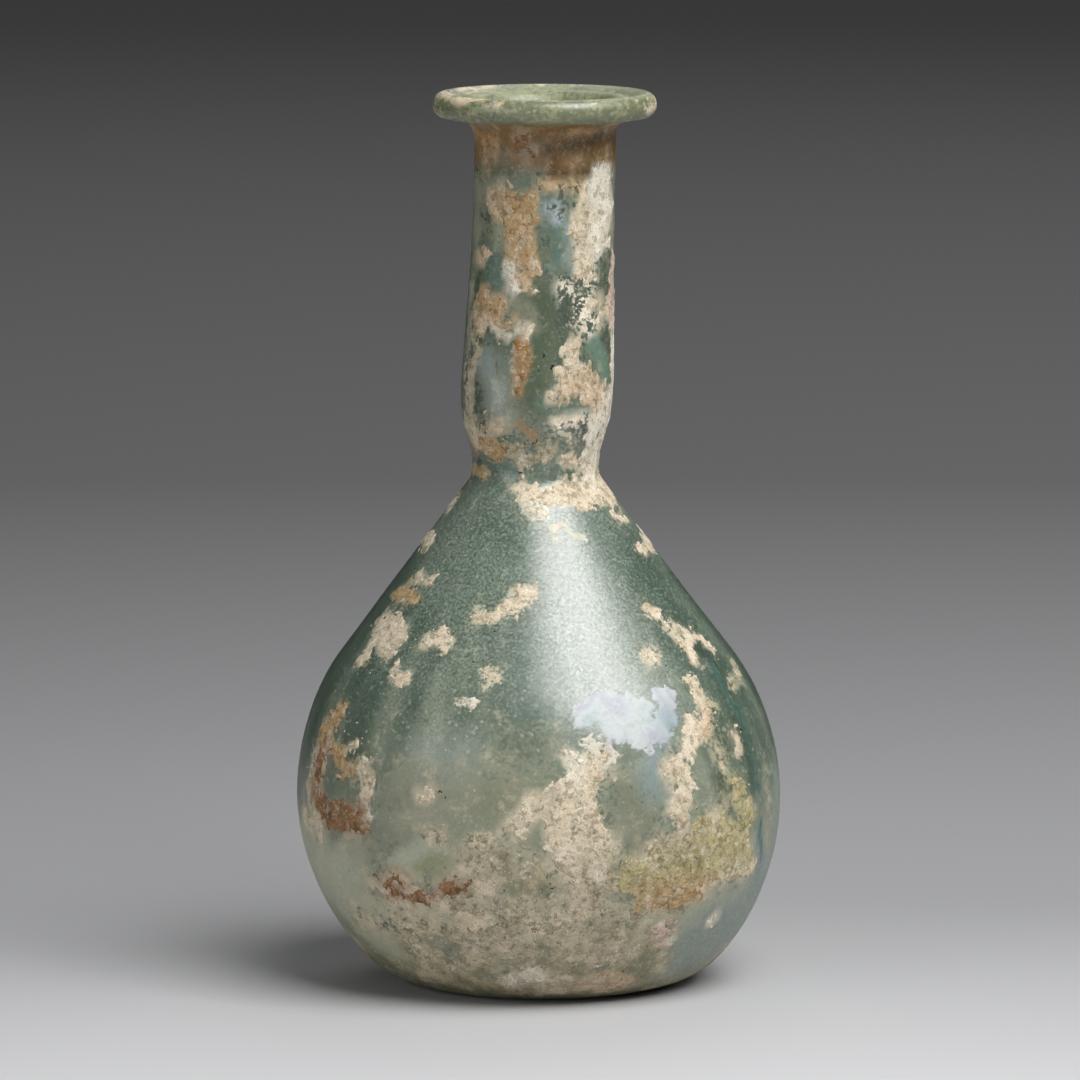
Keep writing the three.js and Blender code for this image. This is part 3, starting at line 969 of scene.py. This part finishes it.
def turnedGlass(material):  # a true round wall, with "inner" telling its two faces apart
    points = np.vstack((outside, inside[1:]))
    chain = np.column_stack((points[:, 0], points[:, 0] * 0, points[:, 1])) * mm
    mesh = bpy.data.meshes.new("outline")
    mesh.from_pydata(chain.tolist(), [(i, i + 1) for i in range(len(chain) - 1)], [])
    crestPoints = 5  # the top of the rim counts as outside
    setNumber(mesh, "inner", np.arange(len(chain)) > len(outside) + crestPoints)
    outline = bpy.data.objects.new("outline", mesh)
    bpy.context.collection.objects.link(outline)
    glass = turningRecipe().grow(outline, "flask_glass", {"Facets": flask["facets"], "Material": material})
    bpy.data.objects.remove(outline)
    return glass


def layVeil(turn, way, height, radius, inner, murk):  # how much the thin haze hides, and its tone
    slanted = np.column_stack((turn / 8 + height * 0.06, height * 0.035, inner * 9))
    streak = np.clip(grain(slanted, 1.0, 3, seed=8) * 0.9 + 0.5, 0, 1)
    strong = np.interp(height, *np.array(veil["streaks"]).T)
    haze = np.interp(height, *np.array(veil["cover"]).T) * (1 + (0.5 * streak - 0.25) * strong) * murk
    strong, streak = strong[:, None], streak[:, None]
    tone = np.array(veil["pale"]) * streak + np.array(veil["dark"]) * (1 - streak)
    tone = tone * strong + toneAt(veil["tone"], height) * (1 - strong)
    bare = np.clip((1 - murk) * 1.8, 0, 0.8)
    for width, deep, stops in veil["dim"]:
        bare = np.maximum(bare, deep * np.clip(1.2 - nearStroke(stops, turn, way, radius) / width, 0, 1))
    haze, bare = haze * (1 - 0.35 * bare), bare[:, None]
    return haze, tone * (1 - bare) + np.array(veil["bare"]) * bare


def rimScratches(turn, height, radius):  # pale rings worn into the rim, most of them at its left
    rings = np.column_stack((turn / 15, radius * 2.6, height * 2.6))
    marks = grain(rings, 1.0, 4, seed=11) * 1.6 + 0.4 * np.exp(-((turn + 80) / 45) ** 2) - 0.3
    return np.clip(marks, 0, 0.9) * np.interp(height, [127.5, 128.5, 130.8, 131.6], [0, 0.45, 0.45, 1])


def makeGlass(material):
    glass = turnedGlass(material)
    mesh = glass.data
    spots = np.empty(len(mesh.vertices) * 3)
    mesh.vertices.foreach_get("co", spots)
    spots = spots.reshape(-1, 3) / mm
    inner = np.empty(len(mesh.vertices))
    mesh.attributes["inner"].data.foreach_get("value", inner)
    turn = np.degrees(np.arctan2(spots[:, 0], -spots[:, 1]))
    height = spots[:, 2]
    way = side.wayAt(height)
    shift = wander(spots, crust["bendSize"], 3, seed=2) * crust["bend"]
    radius = np.maximum(np.hypot(spots[:, 0], spots[:, 1]), 4)
    cover, colour, grit, murk = layFilm(turn + np.degrees(shift[:, 0] / radius), way + shift[:, 1], height)
    haze, hazeTone = layVeil(turn, way, height, radius, inner, murk)
    scratched = rimScratches(turn, height, radius)
    cover = np.maximum(cover, scratched)
    colour = colour * (1 - scratched[:, None]) + np.array(tones["cream"]) * scratched[:, None]
    lining = inner > 0.5
    cover = np.where(lining, np.interp(height, [0, 70, 118, 128], [0.5, 0.4, 0.4, 0.6]), cover)
    haze = np.where(lining, np.interp(height, [118, 126], [0.5, 0.6]), haze)
    colour = np.where(lining[:, None], toneAt(veil["tone"], height), colour)
    mesh.vertices.foreach_set("co", (settle(spots, height) * mm).ravel())
    setNumber(mesh, "film", cover)
    setNumber(mesh, "grit", np.where(lining, 0.1, grit))
    setNumber(mesh, "frost", np.interp(height, [36, 54, 72, 80], [0.15, 1, 1, 0.4]))
    setNumber(mesh, "frayed", np.maximum(0.35 + 0.65 * grit, np.interp(height, [72, 78], [0, 0.85])))
    setNumber(mesh, "gloss", 0.35 + 0.65 * np.exp(-((turn - 20) / 45) ** 2 - ((height - 55) / 40) ** 2))
    many = np.interp(height, [60, 78], [1, 0.06]) * (crumbs["many"] * grit**2 + crumbs["few"])
    setNumber(mesh, "crumbs", np.where(lining | (height > 126), 0, many))
    setColour(mesh, "filmTone", colour)
    setNumber(mesh, "veil", haze)
    setColour(mesh, "veilTone", hazeTone)
    mesh.update()
    print("flask_glass has", sum(len(p.vertices) - 2 for p in mesh.polygons), "triangles")
    return glass


glassLook = {
    "tint": (0.78, 0.87, 0.77, 1),
    "depth": (0.38, 0.64, 0.46, 1),
    "density": 90,
    "index": 1.5,
    "sheenRough": 0.31,
    "sheenIndex": 1.85,
}


def glassMaterial():
    s = Shader("weatheredGlass")
    where = s.place()
    cover = s.attribute("film")
    grit = s.attribute("grit")
    tone = s.attribute("filmTone", out="Color")
    cloud = s.speckle(where, 4.2 * mm, 9, 0.68, 0.2)
    fine = s.speckle(where, 0.6 * mm, 4, 0.65)
    dust = s.speckle(where, 0.24 * mm, 2, 0.6)
    shift = s.speckle(where, 7 * mm, 5, 0.6)
    spots = s.speckle(where, 1.4 * mm, 6, 0.65)
    # the film lies whole where it is smooth, and in torn islands where it is frayed
    smooth = cover.over(0.05, 0.95)
    broken = (cover + (cloud - 0.5) * 1.2 + (spots - 0.5) * 1.2 + (fine - 0.5) * 1.6).over(0.44, 0.6)
    mask = smooth + (broken - smooth) * s.attribute("frayed")
    haze = s.attribute("veil") * (0.8 + 0.4 * cloud)
    hidden = (1 - (1 - haze) * (1 - mask)).clamped()
    shade = s.blend(mask, s.attribute("veilTone", out="Color"), tone)
    # drifts of other tones through the gritty film
    drift = shift + (cloud - 0.5) * 0.5 + (fine - 0.5) * 0.2
    shade = s.blend(drift.over(0.51, 0.57) * 0.5 * grit, shade, (*tones["sand"], 1))
    shade = s.blend(drift.over(0.58, 0.64) * 0.6 * grit, shade, (*tones["cream"], 1))
    shade = s.blend(drift.over(0.47, 0.40) * 0.6 * grit, shade, (*tones["moss"], 1))
    shade = s.blend(drift.over(0.40, 0.34) * 0.6 * grit, shade, (*tones["slate"], 1))
    # pale flecks, then darker and lighter spots
    flecks = (cloud * 0.5 + spots * 0.6 + dust * 0.15 + grit * 0.08).over(0.68, 0.78)
    lit = s.blend(0.45, s.blend(1.0, shade, (1.7, 1.6, 1.5, 1), "MULTIPLY"), (*tones["cream"], 1))
    shade = s.blend(flecks * 0.6, shade, lit)
    dim = s.blend(1.0, shade, (0.5, 0.46, 0.36, 1), "MULTIPLY")
    shade = s.blend((spots * 0.6 + fine * 0.4).over(0.52, 0.62) * 0.4 * mask, shade, dim)
    shade = s.blend((spots * 0.5 + fine * 0.5).over(0.48, 0.38) * 0.35 * mask, shade, lit)
    # holes and dust, pin-sized pale chips on the bare glass, and frost on the shoulder
    holes = (cloud * 0.4 + spots * 0.4 + fine * 0.3 - grit * 0.05).over(0.50, 0.41)
    shade = s.blend(holes * 0.6, shade, (*rgb(96, 100, 74), 1))
    shade = s.blend(dust.over(0.46, 0.34) * 0.25 * grit, shade, (*rgb(96, 94, 70), 1))
    pins = s.node("ShaderNodeTexVoronoi", {}, {"Vector": where, "Scale": 1 / (1.5 * mm), "Randomness": 1.0})
    pins = (pins + (cloud - 0.5) * 0.5).over(0.2, 0.1) * (1 - mask)
    shade = s.blend(pins * 0.7, shade, (*rgb(196, 208, 192), 1))
    frost = s.speckle(where, 0.38 * mm, 2, 0.55)
    bareness = s.attribute("frost") * (1 - mask)
    shade = s.blend(frost.over(0.53, 0.63) * 0.7 * bareness, shade, (*rgb(178, 192, 176), 1))
    shade = s.blend(frost.over(0.48, 0.39) * 0.65 * bareness, shade, (*rgb(62, 86, 70), 1))
    sheen = 0.5 + 0.5 * frost.over(0.34, 0.54)
    clear = s.node("ShaderNodeBsdfPrincipled", {}, {
        "Base Color": glassLook["tint"],
        "Roughness": 0.2 + 0.25 * fine,
        "IOR": glassLook["index"],
        "Transmission Weight": 1.0,
        "Normal": s.bump(cloud * 0.6 + fine * 0.5, 0.25, 0.1 * mm),
    })
    film = s.node("ShaderNodeBsdfPrincipled", {}, {
        "Base Color": shade,
        "Roughness": 0.36 + 0.3 * fine * mask,
        "IOR": 1.55,
        "Coat Weight": s.attribute("gloss") * (1 - 0.7 * mask) * sheen,
        "Coat Roughness": glassLook["sheenRough"],
        "Coat IOR": glassLook["sheenIndex"],
        "Normal": s.bump(cloud + spots * 0.8 + fine * 0.5 + dust * 0.3, 0.45, 0.12 * mm),
    })
    surface = s.node("ShaderNodeMixShader", {}, {0: hidden, 1: clear, 2: film})
    volume = s.node("ShaderNodeVolumeAbsorption", {}, {
        "Color": glassLook["depth"], "Density": glassLook["density"]})
    return s.finish(surface, volume)


glass = makeGlass(glassMaterial())
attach(glass, "root")
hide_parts("perfume_flask")


def crumbRecipe():  # low grains stuck to the wall, as many as its own "crumbs" attribute says
    r = Recipe("stuckCrumbs", {"Size": ("NodeSocketFloat", 0.0002), "Spread": ("NodeSocketFloat", 0.0001),
                               "Flat": ("NodeSocketFloat", 0.5), "Seed": ("NodeSocketInt", 3)})
    density = r.node("GeometryNodeInputNamedAttribute", {"data_type": "FLOAT"}, {"Name": "crumbs"})
    tone = r.node("GeometryNodeInputNamedAttribute", {"data_type": "FLOAT_COLOR"}, {"Name": "filmTone"})
    points = r.node("GeometryNodeDistributePointsOnFaces", {"distribute_method": "RANDOM"},
                    {"Mesh": r.given("Geometry"), "Density": density, "Seed": r.given("Seed")})
    turned = points.node.outputs["Rotation"]
    paler = r.node("ShaderNodeMix", {"data_type": "RGBA"},
                   {0: crumbs["paler"], 6: tone, 7: (*tones["bone"], 1)}, out=2)
    toned = r.node("GeometryNodeStoreNamedAttribute", {"data_type": "FLOAT_COLOR", "domain": "POINT"},
                   {"Geometry": points, "Name": "tone", "Value": paler})
    low = r.node("ShaderNodeMath", {"operation": "SUBTRACT"}, {0: r.given("Size"), 1: r.given("Spread")})
    high = r.node("ShaderNodeMath", {"operation": "ADD"}, {0: r.given("Size"), 1: r.given("Spread")})
    size = r.node("FunctionNodeRandomValue", {"data_type": "FLOAT"},
                  {"Min": low, "Max": high, "Seed": r.given("Seed")}, out=1)
    tall = r.node("ShaderNodeMath", {"operation": "MULTIPLY"}, {0: size, 1: r.given("Flat")})
    scale = r.node("ShaderNodeCombineXYZ", {}, {0: size, 1: size, 2: tall})
    ball = r.node("GeometryNodeMeshIcoSphere", {}, {"Radius": 1.0, "Subdivisions": 1})
    shape = r.node("GeometryNodeSetShadeSmooth", {}, {"Geometry": ball})
    placed = r.node("GeometryNodeInstanceOnPoints", {},
                    {"Points": toned, "Instance": shape, "Rotation": turned, "Scale": scale})
    real = r.node("GeometryNodeRealizeInstances", {}, {"Geometry": placed})
    solid = r.node("GeometryNodeStoreNamedAttribute", {"data_type": "FLOAT", "domain": "POINT"},
                   {"Geometry": real, "Name": "inside", "Value": 0.6})
    r.finish(solid)
    return r


grains = crumbRecipe().grow(glass, "crumbs", {
    "Size": crumbs["size"] * mm,
    "Spread": crumbs["spread"] * mm,
    "Flat": crumbs["flat"],
    "Seed": crumbs["seed"],
    "Material": chalk,
})
print("crumbs has", len(grains.data.polygons), "triangles")
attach(grains, "root")


# A wide round cove: a painted patch of light on the floor under and before the flask, painted darker further
# off as light falloff.
studio = {
    "floor": 1.9,  # metres, flat to here
    "sweep": 0.9,
    "wall": 3.4,
    "facets": 96,
    "paintedLightPool": (0, -0.35, 0),  # the painted light's middle, and below it the painted greys of its falloff by distance from there
    "tones": [(0.24, 0.60), (0.42, 0.33), (0.55, 0.29), (0.95, 0.145), (2.25, 0.185)],
    "farthest": 2.6,
    "aim": (0, 0, 0.06),
    "air": (0.5, 0.52, 0.55, 1),
    "airPower": 0.22,
    "white": (1, 1, 1),
    "cool": (0.97, 0.99, 1),
}
lights = {  # turn from the front and tilt in degrees, metres away, metres across, watts, colour
    "key": (44, 55, 1.2, 0.85, 19.5, "white"),
    "side": (80, 35, 1.3, 0.6, 1.6, "white"),
    "fill": (-48, 12, 1.5, 1.0, 6.5, "cool"),
    "back": (170, 40, 1.6, 1.0, 3.5, "white"),
}


def paperMaterial():
    s = Shader("paperSweep")
    away = s.node("ShaderNodeVectorMath", {"operation": "DISTANCE"},
                  {0: s.place(), 1: studio["paintedLightPool"]}, out="Value")
    # painted light: the floor's grey falls off with distance from the painted light's middle
    stops = [(distance / studio["farthest"], (grey, grey, grey * 1.02)) for distance, grey in studio["tones"]]
    tone = s.node("ShaderNodeValToRGB", {"stops": stops}, {0: away / studio["farthest"]})
    return s.finish(s.node("ShaderNodeBsdfPrincipled", {}, {"Base Color": tone, "Roughness": 0.85}))


def makeCove():
    sweep = arc((studio["floor"], studio["sweep"]), studio["sweep"], -math.pi / 2, 0, 16)
    outline = np.vstack(([(0.02, 0), (0.5, 0)], sweep, [(studio["floor"] + studio["sweep"], studio["wall"])]))
    facets = studio["facets"]
    angles = np.arange(facets) * 2 * math.pi / facets
    points = [(r * math.cos(a), r * math.sin(a), z) for r, z in outline for a in angles]
    faces = [(i * facets + j, i * facets + (j + 1) % facets, (i + 1) * facets + (j + 1) % facets,
              (i + 1) * facets + j) for i in range(len(outline) - 1) for j in range(facets)]
    faces = [face[::-1] for face in faces] + [tuple(range(facets))]
    mesh = bpy.data.meshes.new("cove")
    mesh.from_pydata(points, [], faces)
    mesh.polygons.foreach_set("use_smooth", [True] * len(faces))
    mesh.materials.append(paperMaterial())
    cove = bpy.data.objects.new("cove", mesh)
    bpy.context.collection.objects.link(cove)


def makeLight(name, turn, tilt, away, size, power, colour):
    lamp = bpy.data.lights.new(name, "AREA")
    lamp.shape, lamp.size, lamp.energy, lamp.color = "SQUARE", size, power, studio[colour]
    light = bpy.data.objects.new(name, lamp)
    turn, tilt = math.radians(turn), math.radians(tilt)
    light.location = Vector(studio["aim"]) + away * Vector((
        math.sin(turn) * math.cos(tilt), -math.cos(turn) * math.cos(tilt), math.sin(tilt)))
    pointAt(light, studio["aim"])
    bpy.context.collection.objects.link(light)


def makeAir():
    world = bpy.data.worlds.new("dimAir")
    world.use_nodes = True
    background = world.node_tree.nodes["Background"]
    background.inputs["Color"].default_value = studio["air"]
    background.inputs["Strength"].default_value = studio["airPower"]
    bpy.context.scene.world = world


makeCove()
for name, settings in lights.items():
    makeLight(name, *settings)
makeAir()
bpy.context.scene.view_settings.view_transform = "Standard"
print("studio lit by", len(lights), "lights")
